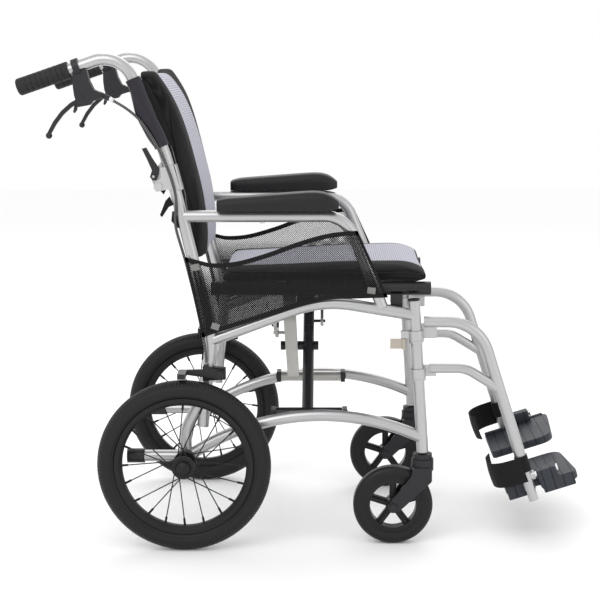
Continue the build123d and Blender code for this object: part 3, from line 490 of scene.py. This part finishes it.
def finishPiece(piece, name, material, angle=40):
    # place is kept in the mesh, with normals out and soft shading
    pick(piece)
    piece.name = name
    piece.data.name = name
    bpy.ops.object.transform_apply(location=True, rotation=True, scale=True)
    bpy.ops.object.mode_set(mode="EDIT")
    bpy.ops.mesh.select_all(action="SELECT")
    bpy.ops.mesh.remove_doubles(threshold=0.00001)
    bpy.ops.mesh.normals_make_consistent(inside=False)
    bpy.ops.object.mode_set(mode="OBJECT")
    bpy.ops.object.shade_smooth_by_angle(angle=radians(angle))
    piece.data.materials.clear()
    piece.data.materials.append(material)
    deselect()
    return piece


def modify(piece, kind, **values):
    pick(piece)
    modifier = piece.modifiers.new(kind.lower(), kind)
    for key, value in values.items():
        setattr(modifier, key, value)
    bpy.ops.object.modifier_apply(modifier=modifier.name)


def block(cuts):
    # a unit block cut into small faces, ready to be shaped
    deselect()
    bpy.ops.mesh.primitive_cube_add(size=1)
    piece = bpy.context.object
    bpy.ops.object.mode_set(mode="EDIT")
    bpy.ops.mesh.subdivide(number_cuts=cuts)
    bpy.ops.object.mode_set(mode="OBJECT")
    return piece


def flatPiece(outline):
    # one face with the outline of a cut piece of cloth
    deselect()
    mesh = bpy.data.meshes.new("cut")
    mesh.from_pydata([tuple(p) for p in outline], [], [list(range(len(outline)))])
    piece = bpy.data.objects.new("cut", mesh)
    bpy.context.scene.collection.objects.link(piece)
    pick(piece)
    return piece


def strip(rows):
    # a band of cloth through rows of points
    deselect()
    width = len(rows[0])
    corners = [tuple(p) for row in rows for p in row]
    faces = [(r * width + c, r * width + c + 1, (r + 1) * width + c + 1, (r + 1) * width + c)
             for r in range(len(rows) - 1) for c in range(width - 1)]
    mesh = bpy.data.meshes.new("band")
    mesh.from_pydata(corners, [], faces)
    piece = bpy.data.objects.new("band", mesh)
    bpy.context.scene.collection.objects.link(piece)
    pick(piece)
    return piece


def roundRun(points, radius, steps=3):
    # a round tube along a line of points, ends closed
    deselect()
    curve = bpy.data.curves.new("run", "CURVE")
    curve.dimensions = "3D"
    curve.bevel_depth = radius
    curve.bevel_resolution = steps
    curve.use_fill_caps = True
    spline = curve.splines.new("POLY")
    spline.points.add(len(points) - 1)
    for knot, place in zip(spline.points, points):
        knot.co = (*place, 1)
    piece = bpy.data.objects.new("run", curve)
    bpy.context.scene.collection.objects.link(piece)
    pick(piece)
    bpy.ops.object.convert(target="MESH")
    return bpy.context.object


def disc(place, direction, radius, height, bevel):
    # a bevelled round head, such as a bolt's or a screw's
    deselect()
    bpy.ops.mesh.primitive_cylinder_add(vertices=32, radius=radius, depth=height, location=place)
    piece = bpy.context.object
    piece.rotation_euler = Vector(direction).to_track_quat("Z", "Y").to_euler()
    modify(piece, "BEVEL", width=bevel, segments=2, limit_method="ANGLE")
    return piece


def joined(pieces):
    deselect()
    for piece in pieces:
        piece.select_set(True)
    bpy.context.view_layer.objects.active = pieces[0]
    if len(pieces) > 1:
        bpy.ops.object.join()
    return bpy.context.object


def stuff(piece, voxel, pressure, cap):
    # the cover swells under its filling, no point moving further than cap
    modify(piece, "REMESH", mode="VOXEL", voxel_size=voxel)
    modify(piece, "SMOOTH", factor=0.5, iterations=5)
    before = [v.co.copy() for v in piece.data.vertices]
    cloth = piece.modifiers.new("stuffing", "CLOTH")
    cloth.settings.quality = 5
    cloth.settings.mass = 0.3
    cloth.settings.use_pressure = True
    cloth.settings.uniform_pressure_force = pressure
    cloth.settings.effector_weights.gravity = 0
    for step in range(1, 21):
        bpy.context.scene.frame_set(step)
    pick(piece)
    bpy.ops.object.modifier_apply(modifier=cloth.name)
    for point, first in zip(piece.data.vertices, before):
        move = point.co - first
        if move.length > cap:
            point.co = first + move * (cap / move.length)
    bpy.context.scene.frame_set(1)
    modify(piece, "SMOOTH", factor=0.5, iterations=3)
    modify(piece, "SUBSURF", levels=1, render_levels=1)


def halved(piece, place, normal):
    # cut in two closed halves; the first keeps the side that the normal points away from
    other = piece.copy()
    other.data = piece.data.copy()
    bpy.context.scene.collection.objects.link(other)
    for half, inner, outer in ((piece, False, True), (other, True, False)):
        pick(half)
        bpy.ops.object.mode_set(mode="EDIT")
        bpy.ops.mesh.select_all(action="SELECT")
        bpy.ops.mesh.bisect(plane_co=place, plane_no=normal, use_fill=True,
                            clear_inner=inner, clear_outer=outer)
        bpy.ops.object.mode_set(mode="OBJECT")
    return piece, other


def onSurface(piece, points, direction, lift):
    # points dropped on a piece from one side, and raised a little off it
    landed = []
    for point in points:
        hit, place, normal, _ = piece.ray_cast(Vector(point), Vector(direction))
        if hit:
            landed.append(place + normal * lift)
    return landed


# back
back = {"half": 0.168, "bottom": 0.542, "top": 0.902, "split": 0.7005, "keep": 0.34,
        "ear": 0.012, "wing": 0.034,
        "front": [(0.540, -0.193), (0.600, -0.191), (0.668, -0.200), (0.745, -0.219),
                  (0.800, -0.235), (0.850, -0.255), (0.885, -0.278), (0.930, -0.312)],
        "rear": [(0.540, -0.213), (0.600, -0.214), (0.668, -0.229), (0.745, -0.250),
                 (0.842, -0.283), (0.903, -0.316)]}


def buildBack():
    piece = block(34)
    for point in piece.data.vertices:
        u, v, w = point.co.z + 0.5, point.co.y * 2, point.co.x + 0.5
        side = abs(v)
        z = back["bottom"] + (back["top"] - back["bottom"]) * u
        wing = back["wing"] * max(0.0, (u - 0.45) / 0.55) ** 1.3 * (side ** 2 - 0.35)
        front = easeUp(back["front"], z) - 0.018 * side ** 7 + wing
        rear = easeUp(back["rear"], z) - 0.002 * side ** 5
        corner = max(0.0, side - 0.86) / 0.14
        top = back["ear"] * (1 - side ** 3) + 0.016 * corner * corner
        point.co = (rear + (front - rear) * w, v * back["half"], z - top * u ** 6)
    stuff(piece, 0.005, 4, 0.007)
    lower, upper = halved(piece, (0, 0, back["split"]), (0, 0, 1))
    finishPiece(lower, "back_lower", backFabric)
    finishPiece(upper, "back_upper", backFabric)
    return lower, upper


def backSeams(lower, upper):
    # the stitched edge down each side wing, a little wavy where the cloth gathers
    made = []
    for cushion, low, high, name in ((lower, 0.548, 0.692, "lower"), (upper, 0.712, 0.884, "upper")):
        for sign, side in ((-1, "right"), (1, "left")):
            line = []
            for i in range(61):
                z = low + (high - low) * i / 60
                rise = i / 60 if name == "lower" else 0.4
                share = 0.36 + 0.24 * rise + 0.07 * sin(z * 95) + 0.04 * sin(z * 210)
                rear, front = lookUp(back["rear"], z), lookUp(back["front"], z) - 0.021
                line.append((rear + (front - rear) * min(share + 0.05, 0.92), sign * 0.3, z))
            landed = onSurface(cushion, line, (0, -sign, 0), 0.0004)
            if len(landed) > 5:
                thread = roundRun(landed, 0.0007, 1)
                finishPiece(thread, f"{side}_back_{name}_thread", paleThread)
                made.append((thread, name))
    return made


paleThread = hardFinish("paleThread", (0.22, 0.22, 0.24), 0.8, 0.3, 0.5, 0.0002)
lowerBack, upperBack = buildBack()
threads = backSeams(lowerBack, upperBack)
for piece, place in [(lowerBack, "lower"), (upperBack, "upper")] + threads:
    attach(piece, {"lower": "right_frame", "upper": "right_upper_back"}[place])
    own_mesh(piece)
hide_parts("back_upholstery")
print("back done")

# seat
seat = {"half": 0.171, "rear": -0.160, "front": 0.233, "floor": 0.5045, "keep": 0.30,
        "crown": [(-0.160, 0.520), (-0.040, 0.525), (0.080, 0.5315), (0.180, 0.5335), (0.233, 0.5325)]}


def buildSeat():
    piece = block(34)
    for point in piece.data.vertices:
        u, v, w = point.co.x + 0.5, point.co.y * 2, point.co.z + 0.5
        side = abs(v)
        x = seat["rear"] + (seat["front"] - seat["rear"]) * u
        nose = max(0.0, (u - 0.86) / 0.14)
        top = lookUp(seat["crown"], x) - 0.007 * side ** 6 - 0.012 * nose ** 2 - 0.001 * cos(pi * v)
        heel = max(0.0, (0.05 - u) / 0.05)
        top -= 0.004 * heel ** 2
        point.co = (x, v * seat["half"], seat["floor"] + (top - seat["floor"]) * w)
    stuff(piece, 0.005, 4, 0.005)
    right, left = halved(piece, (0, 0, 0), (0, 1, 0))
    finishPiece(right, "seat_right_half", seatFabric)
    finishPiece(left, "seat_left_half", seatFabric)
    return right, left


rightSeat, leftSeat = buildSeat()
for piece, body, side in ((rightSeat, "cross_b", "right"), (leftSeat, "cross_a", "left")):
    sign = sideSigns[side]
    edge = []
    for i in range(81):
        x = seat["rear"] + 0.012 + (seat["front"] - seat["rear"] - 0.018) * i / 80
        edge.append((x, sign * 0.3, seat["floor"] + 0.015 - 0.004 * max(0, (i - 70) / 10)))
    pipingLine = onSurface(piece, edge, (0, -sign, 0), 0.0006)
    piping = roundRun(pipingLine, 0.0019)
    finishPiece(piping, f"seat_{side}_piping", pipingCloth)
    for part in (piece, piping):
        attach(part, body)
        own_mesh(part)
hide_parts("seat_cushion")
print("seat done")

# armrest pads
pad = {"rear": 0.066 + axleX, "front": 0.291 + axleX, "floor": 0.6418, "half": 0.0258, "y": 0.204,
       "height": [(0.066, 0.0235), (0.120, 0.0275), (0.200, 0.0335), (0.245, 0.0365),
                  (0.268, 0.0345), (0.283, 0.0275), (0.291, 0.0180)]}


def buildPad(side, sign):
    length = pad["front"] - pad["rear"]
    piece = block(15)
    for point in piece.data.vertices:
        u, v, w = point.co.x * 2, point.co.y * 2, point.co.z + 0.5
        forward = max(0.0, (u - 0.80) / 0.20)
        backward = max(0.0, (-u - 0.92) / 0.08)
        narrow = 1 - 0.34 * forward ** 3 - 0.10 * backward ** 2
        x = pad["rear"] + length * (u + 1) / 2
        height = lookUp(pad["height"], x - axleX)
        shoulder = max(0.0, abs(v) - 0.6) / 0.4
        crown = height * (1 - 0.24 * shoulder ** 2.2) - 0.004 * backward ** 2
        z = crown * w + 0.005 * forward ** 3 * (1 - w)
        spread = 1 - 0.05 * (1 - w) ** 3 - 0.05 * max(0.0, w - 0.7) / 0.3
        point.co = (x, sign * pad["y"] + v * pad["half"] * narrow * spread, pad["floor"] + z)
    modify(piece, "SUBSURF", levels=1, render_levels=1)
    modify(piece, "SMOOTH", factor=0.6, iterations=4)
    finishPiece(piece, f"{side}_arm_pad_cover", armVinyl, 60)
    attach(piece, f"{side}_frame")
    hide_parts(f"{side}_armrest_pad")


for side, sign in sideSigns.items():
    buildPad(side, sign)
print("arm pads done")

# net side panels
panel = {"y": 0.2036, "binding": 0.0088,
         "top": [(0.004, 0.555), (0.030, 0.549), (0.057, 0.5435), (0.102, 0.5470), (0.156, 0.5620),
                 (0.200, 0.5780), (0.247, 0.5930), (0.285, 0.6010), (0.326, 0.6040)],
         "bottom": [(0.035, 0.403), (0.100, 0.424), (0.168, 0.446), (0.222, 0.463), (0.275, 0.475),
                    (0.330, 0.477), (0.383, 0.479)]}


def evenRun(points, count):
    # the same run with evenly spaced points
    lengths = [0.0]
    for a, b in zip(points, points[1:]):
        lengths.append(lengths[-1] + (b - a).length)
    made = []
    for i in range(count + 1):
        want = lengths[-1] * i / count
        k = min(max(n for n, far in enumerate(lengths) if far <= want + 1e-9), len(points) - 2)
        share = (want - lengths[k]) / (lengths[k + 1] - lengths[k])
        made.append(points[k].lerp(points[k + 1], share))
    return made


def panelRows(y, count=48, rows=16):
    top = evenRun(smoothRun([(x + axleX, y, z) for x, z in panel["top"]], 6), count)
    low = evenRun(smoothRun([(x + axleX, y, z) for x, z in panel["bottom"]], 6), count)
    return [[a.lerp(b, r / rows) for a, b in zip(top, low)] for r in range(rows + 1)]


def buildPanel(side, sign):
    y = sign * panel["y"]
    rows = panelRows(y)
    net = strip(rows)
    finishPiece(net, f"{side}_panel_net", netMaterial)
    bands = []
    for a, b in ((rows[0], rows[-1]), (rows[-1], rows[0])):
        bands.append(strip([a, [p + (q - p).normalized() * panel["binding"] for p, q in zip(a, b)]]))
    for column, inward in ((0, 1), (-1, -1)):
        line = [row[column] for row in rows]
        bands.append(strip([line, [p + Vector((inward * panel["binding"] * 0.7, 0, 0)) for p in line]]))
    ring = joined(bands)
    modify(ring, "SOLIDIFY", thickness=0.0014, offset=0)
    finishPiece(ring, f"{side}_panel_binding", blackWebbing)
    # the front edge turns back round the arm tube, and the rear edge round the post
    turned = [("front", [(0.300, 0.600), (0.322, 0.602), (0.379, 0.481), (0.345, 0.480)]),
              ("rear", [(0.007, 0.553), (0.040, 0.545), (0.066, 0.416), (0.036, 0.405)])]
    for part, corners in turned:
        loopY = sign * (panel["y"] - 0.0012)
        flap = flatPiece([(x + axleX, loopY, z) for x, z in corners])
        finishPiece(flap, f"{side}_panel_{part}_hem", netMaterial)
        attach(flap, f"{side}_frame")
    for part in (net, ring):
        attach(part, f"{side}_frame")
    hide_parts(f"{side}_side_panel")
    patches = []
    for x, z, turn in ((0.024, 0.536, -0.2), (0.060, 0.424, 0.3), (0.352, 0.492, 0.1)):
        deselect()
        bpy.ops.mesh.primitive_plane_add(size=1, location=(x + axleX, sign * (panel["y"] + 0.0009), z))
        patch = bpy.context.object
        patch.scale = (0.015, 0.012, 1)
        patch.rotation_euler = (radians(90), turn, 0)
        bpy.ops.object.transform_apply(location=True, rotation=True, scale=True)
        modify(patch, "SOLIDIFY", thickness=0.0006, offset=0)
        patches.append(patch)
    tabs = joined(patches)
    finishPiece(tabs, f"{side}_panel_tabs", paleTab)
    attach(tabs, f"{side}_frame")


def paleTabCloth():
    sheet = Sheet("paleTab", Roughness=0.5)
    x, y, z = sheet.parts()
    height = weaveHeight(sheet, 0.0036, sheet.math("ADD", x, z), sheet.math("SUBTRACT", x, z))
    sheet.set("Base Color", sheet.mix(sheet.span(height, -0.6, 0.6), (0.05, 0.05, 0.05), (0.30, 0.30, 0.29)))
    sheet.bump(height, 0.4, 0.0004)
    return sheet.material


paleTab = paleTabCloth()
for side, sign in sideSigns.items():
    buildPanel(side, sign)
print("side panels done")

# heel loops
heel = {"lean": 17.8, "foot": (0.4294, 0.1125), "low": 0.008, "high": 0.058, "ring": 0.0121, "cuffLow": 0.026,
        "tubeY": 0.176,
        "path": [(0.000, 0.1893), (-0.018, 0.1893), (-0.040, 0.1860), (-0.056, 0.1740), (-0.0635, 0.1560),
                 (-0.0640, 0.1380), (-0.0620, 0.1180), (-0.0540, 0.1010)]}


def footPoint(forward, y, up):
    lean = radians(heel["lean"])
    return Vector((heel["foot"][0] + forward * cos(lean) - up * sin(lean), y,
                   heel["foot"][1] + forward * sin(lean) + up * cos(lean)))


def buildHeelLoop(side, sign, lift):
    path = smoothRun([(a, b, 0) for a, b in heel["path"]], 6)
    rows = []
    for i in range(9):
        up = heel["low"] + lift + (heel["high"] - heel["low"]) * i / 8
        belly = 0.0016 * sin(pi * i / 8)
        rows.append([footPoint(p.x - belly, sign * (p.y + 0.4 * belly * (p.x > -0.03)), up) for p in path])
    band = strip(rows)
    modify(band, "SOLIDIFY", thickness=0.0014, offset=0)
    finishPiece(band, f"{side}_heel_band", blackWebbing)
    cuffTall = heel["high"] - heel["cuffLow"]
    turns = [(heel["ring"] * cos(2 * pi * k / 32), heel["ring"] * sin(2 * pi * k / 32)) for k in range(33)]
    ringRows = []
    for i in range(5):
        up = heel["cuffLow"] + lift + cuffTall * i / 4
        ringRows.append([footPoint(a, sign * (heel["tubeY"] + b), up) for a, b in turns])
    cuff = strip(ringRows)
    modify(cuff, "SOLIDIFY", thickness=0.0012, offset=0)
    finishPiece(cuff, f"{side}_heel_cuff", blackWebbing)
    for part in (band, cuff):
        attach(part, f"{side}_hanger")
    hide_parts(f"{side}_heel_loop")


# footplates
plate = {"outline": [(-0.046, 0.020), (-0.046, 0.160), (0.020, 0.160), (0.022, 0.190), (0.096, 0.190),
                     (0.082, 0.020)],
         "soft": [0.010, 0.008, 0.003, 0.004, 0.026, 0.030], "thick": 0.0155, "below": 0.0003,
         # each block: rear, front, outer, inner, middle height, depth, corner and its steps, edge and its steps
         "step": (0.0195, 0.0575, 0.1885, 0.1635, 0.010, 0.0235, 0.004, 4, 0.0022, 3),
         "lip": (-0.045, 0.018, 0.159, 0.150, 0.0015, 0.0060, 0.003, 3, 0.0014, 2),
         "rearSkirt": (-0.044, 0.008, 0.1595, 0.150, -0.013, 0.030, 0.003, 3, 0.0018, 3),
         "frontSkirt": (0.024, 0.086, 0.1895, 0.180, -0.011, 0.026, 0.003, 3, 0.0018, 3)}


def roundedOutline(corners, radii, steps=8):
    made = []
    count = len(corners)
    for i in range(count):
        here = Vector(corners[i])
        before, after = Vector(corners[i - 1]) - here, Vector(corners[(i + 1) % count]) - here
        reach = min(radii[i], 0.45 * before.length, 0.45 * after.length)
        a, b = here + before.normalized() * reach, here + after.normalized() * reach
        for k in range(steps + 1):
            t = k / steps
            made.append(a * (1 - t) ** 2 + here * 2 * t * (1 - t) + b * t * t)
    return made


def moulded(outline, sign, height, thick, edge, steps):
    # a slab in the footplate's tilted plane with rounded edges
    slab = flatPiece([footPoint(a, sign * b, height) for a, b in outline])
    modify(slab, "SOLIDIFY", thickness=thick, offset=0)
    modify(slab, "BEVEL", width=edge, segments=steps, limit_method="ANGLE", angle_limit=radians(40))
    return slab


def buildFootplate(side, sign, lift):
    outline = roundedOutline(plate["outline"], plate["soft"])
    parts = [moulded(outline, sign, lift - plate["thick"] / 2 - plate["below"], plate["thick"], 0.0030, 4)]
    for part in ("step", "lip", "rearSkirt", "frontSkirt"):
        rear, front, outer, inner, middle, deep, corner, cornerSteps, edge, edgeSteps = plate[part]
        corners = [(rear, inner), (rear, outer), (front, outer), (front, inner)]
        outline = roundedOutline(corners, [corner] * 4, cornerSteps)
        parts.append(moulded(outline, sign, lift + middle, deep, edge, edgeSteps))
    made = joined(parts)
    finishPiece(made, f"{side}_plate_moulding", plateMaterial)
    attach(made, f"{side}_footplate")
    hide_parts(f"{side}_footplate")


plateLift = {"right": 0.0, "left": 0.023}      # the left footplate is set higher
for build in (buildFootplate, buildHeelLoop):
    for side, sign in sideSigns.items():
        build(side, sign, plateLift[side])
print("footplates and heel loops done")

# brake cables
cable = {"radius": 0.0026, "blend": (0.665, 0.712),
         "route": [(-130.4, 190.0, 847.2), (-113, 191.5, 838), (-93, 194, 825), (-74, 197.6, 808.5),
                   (-59, 203.4, 788), (-44.6, 207, 765), (-32, 208, 740), (-21.5, 208.2, 714),
                   (-13.5, 208, 688), (-8.6, 206.2, 662), (-12, 202.4, 637), (-13, 195.8, 612),
                   (-6.6, 191, 585), (1.6, 190, 557), (8.8, 190.2, 529), (15.2, 190, 501), (22, 190.3, 473),
                   (27.6, 190.6, 446), (33, 193.6, 422), (37.2, 199, 399), (41.6, 206.8, 378),
                   (42.6, 208.6, 356)]}


def buildCable(side, sign):
    deselect()
    curve = bpy.data.curves.new("cable", "CURVE")
    curve.dimensions = "3D"
    curve.resolution_u = 6
    spline = curve.splines.new("NURBS")
    spline.points.add(len(cable["route"]) - 1)
    for knot, (x, y, z) in zip(spline.points, cable["route"]):
        knot.co = (axleX + x / 1000, sign * y / 1000, z / 1000, 1)
    spline.order_u = 3
    spline.use_endpoint_u = True
    piece = bpy.data.objects.new("cable", curve)
    bpy.context.scene.collection.objects.link(piece)
    bpy.context.view_layer.update()
    line = bpy.data.meshes.new_from_object(piece)
    path = [v.co.copy() for v in line.vertices]
    curve.bevel_depth = cable["radius"]
    curve.bevel_resolution = 3
    curve.use_fill_caps = True
    pick(piece)
    bpy.ops.object.convert(target="MESH")
    piece = bpy.context.object
    finishPiece(piece, f"{side}_cable", cableMaterial, 60)
    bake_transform(piece)
    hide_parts(f"{side}_brake_cable")
    start, ahead = path[0], (path[1] - path[0]).normalized()
    ferrule = joined([disc(start + ahead * 0.004, ahead, 0.0042, 0.010, 0.0008),
                      disc(start - ahead * 0.004, ahead, 0.0030, 0.010, 0.0006)])
    finishPiece(ferrule, f"{side}_cable_ferrule", brightSteel)
    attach(ferrule, f"{side}_upper_back")


for side, sign in sideSigns.items():
    buildCable(side, sign)
print("cables done")

# sleeves that hold the back on its tubes
sleeve = {"top": (-0.0872, 0.8835), "low": (-0.0352, 0.7590), "radius": 0.0131, "slack": 0.010,
          "bulge": 0.0075, "webY": 0.1725, "web": (0.021, 0.131)}


def buildSleeve(side, sign):
    top = Vector((sleeve["top"][0] + axleX, sign * frameY, sleeve["top"][1]))
    low = Vector((sleeve["low"][0] + axleX, sign * frameY, sleeve["low"][1]))
    along = (low - top).normalized()
    forward = Vector((-along.z, 0, along.x))
    if forward.x < 0:
        forward = -forward
    out = Vector((0, sign, 0))
    rows = []
    for i in range(41):
        t = i / 40
        centre = top.lerp(low, t)
        loose = max(0.0, sin(pi * min(1.0, max(0.0, (t - 0.16) / 0.80)))) ** 0.7
        row = []
        for k in range(49):
            angle = 2 * pi * k / 48
            fold = 0.0007 * sin(3 * angle + 9 * t) * sin(pi * t) + 0.0005 * sin(17 * t + 2 * angle)
            flare = 0.0007 * max(0.0, 1 - 14 * t) + 0.0009 * max(0.0, 14 * t - 13)
            radius = sleeve["radius"] + fold * 0.8 + flare
            behind = max(0.0, -cos(angle)) ** 6 * sleeve["bulge"] * loose
            row.append(centre + forward * (radius * cos(angle) - behind) + out * radius * sin(angle))
        rows.append(row)
    piece = strip(rows)
    modify(piece, "SOLIDIFY", thickness=0.0010, offset=0)
    finishPiece(piece, f"{side}_cane_sleeve", sleeveVinyl, 60)
    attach(piece, f"{side}_upper_back")
    # the web from the sleeve to the edge of the back
    webRows = []
    for i in range(25):
        t = 0.02 + 0.96 * i / 24
        centre = top.lerp(low, t)
        edge = Vector((lookUp(back["rear"], centre.z) + 0.014, sign * sleeve["webY"], centre.z - 0.004))
        wave = 0.0012 * sin(11 * t)
        begin = centre + forward * 0.0085 - out * 0.0095
        webRows.append([begin.lerp(edge, s) + forward * wave * sin(pi * s)
                        for s in (0, 0.2, 0.4, 0.6, 0.8, 1.0)])
    web = strip(webRows)
    modify(web, "SOLIDIFY", thickness=0.0014, offset=0)
    finishPiece(web, f"{side}_cane_web", blackWebbing, 60)
    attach(web, f"{side}_upper_back")


for side, sign in sideSigns.items():
    buildSleeve(side, sign)
print("sleeves done")

# small cloth tags and bright fittings
trim = {"screws": (-0.078, 0.047), "armUnder": 0.6190, "tagY": 0.1965,
        "tags": [[(-0.041, 0.680), (-0.027, 0.683), (-0.033, 0.671)],
                 [(-0.022, 0.668), (-0.030, 0.660), (-0.041, 0.633), (-0.037, 0.629), (-0.024, 0.648),
                  (-0.015, 0.652)],
                 [(-0.018, 0.640), (-0.010, 0.640), (0.001, 0.606), (-0.010, 0.610), (-0.020, 0.622)]]}


def buildTags(side, sign):
    cut = []
    for shape in trim["tags"]:
        flap = flatPiece([(x + axleX, sign * trim["tagY"], z) for x, z in shape])
        modify(flap, "SOLIDIFY", thickness=0.0020, offset=0)
        modify(flap, "BEVEL", width=0.0006, segments=2)
        cut.append(flap)
    tags = joined(cut)
    finishPiece(tags, f"{side}_strap_tags", blackWebbing)
    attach(tags, f"{side}_frame")


def buildScrews(side, sign):
    height = trim["armUnder"] - 0.0006
    screws = joined([disc((x, sign * frameY, height), (0, 0, -1), 0.0042, 0.0032, 0.0012)
                     for x in trim["screws"]])
    finishPiece(screws, f"{side}_pad_screws", brightSteel)
    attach(screws, f"{side}_frame")


for side, sign in sideSigns.items():
    buildTags(side, sign)
    buildScrews(side, sign)
print("tags and screws done")

print("pieces ready")
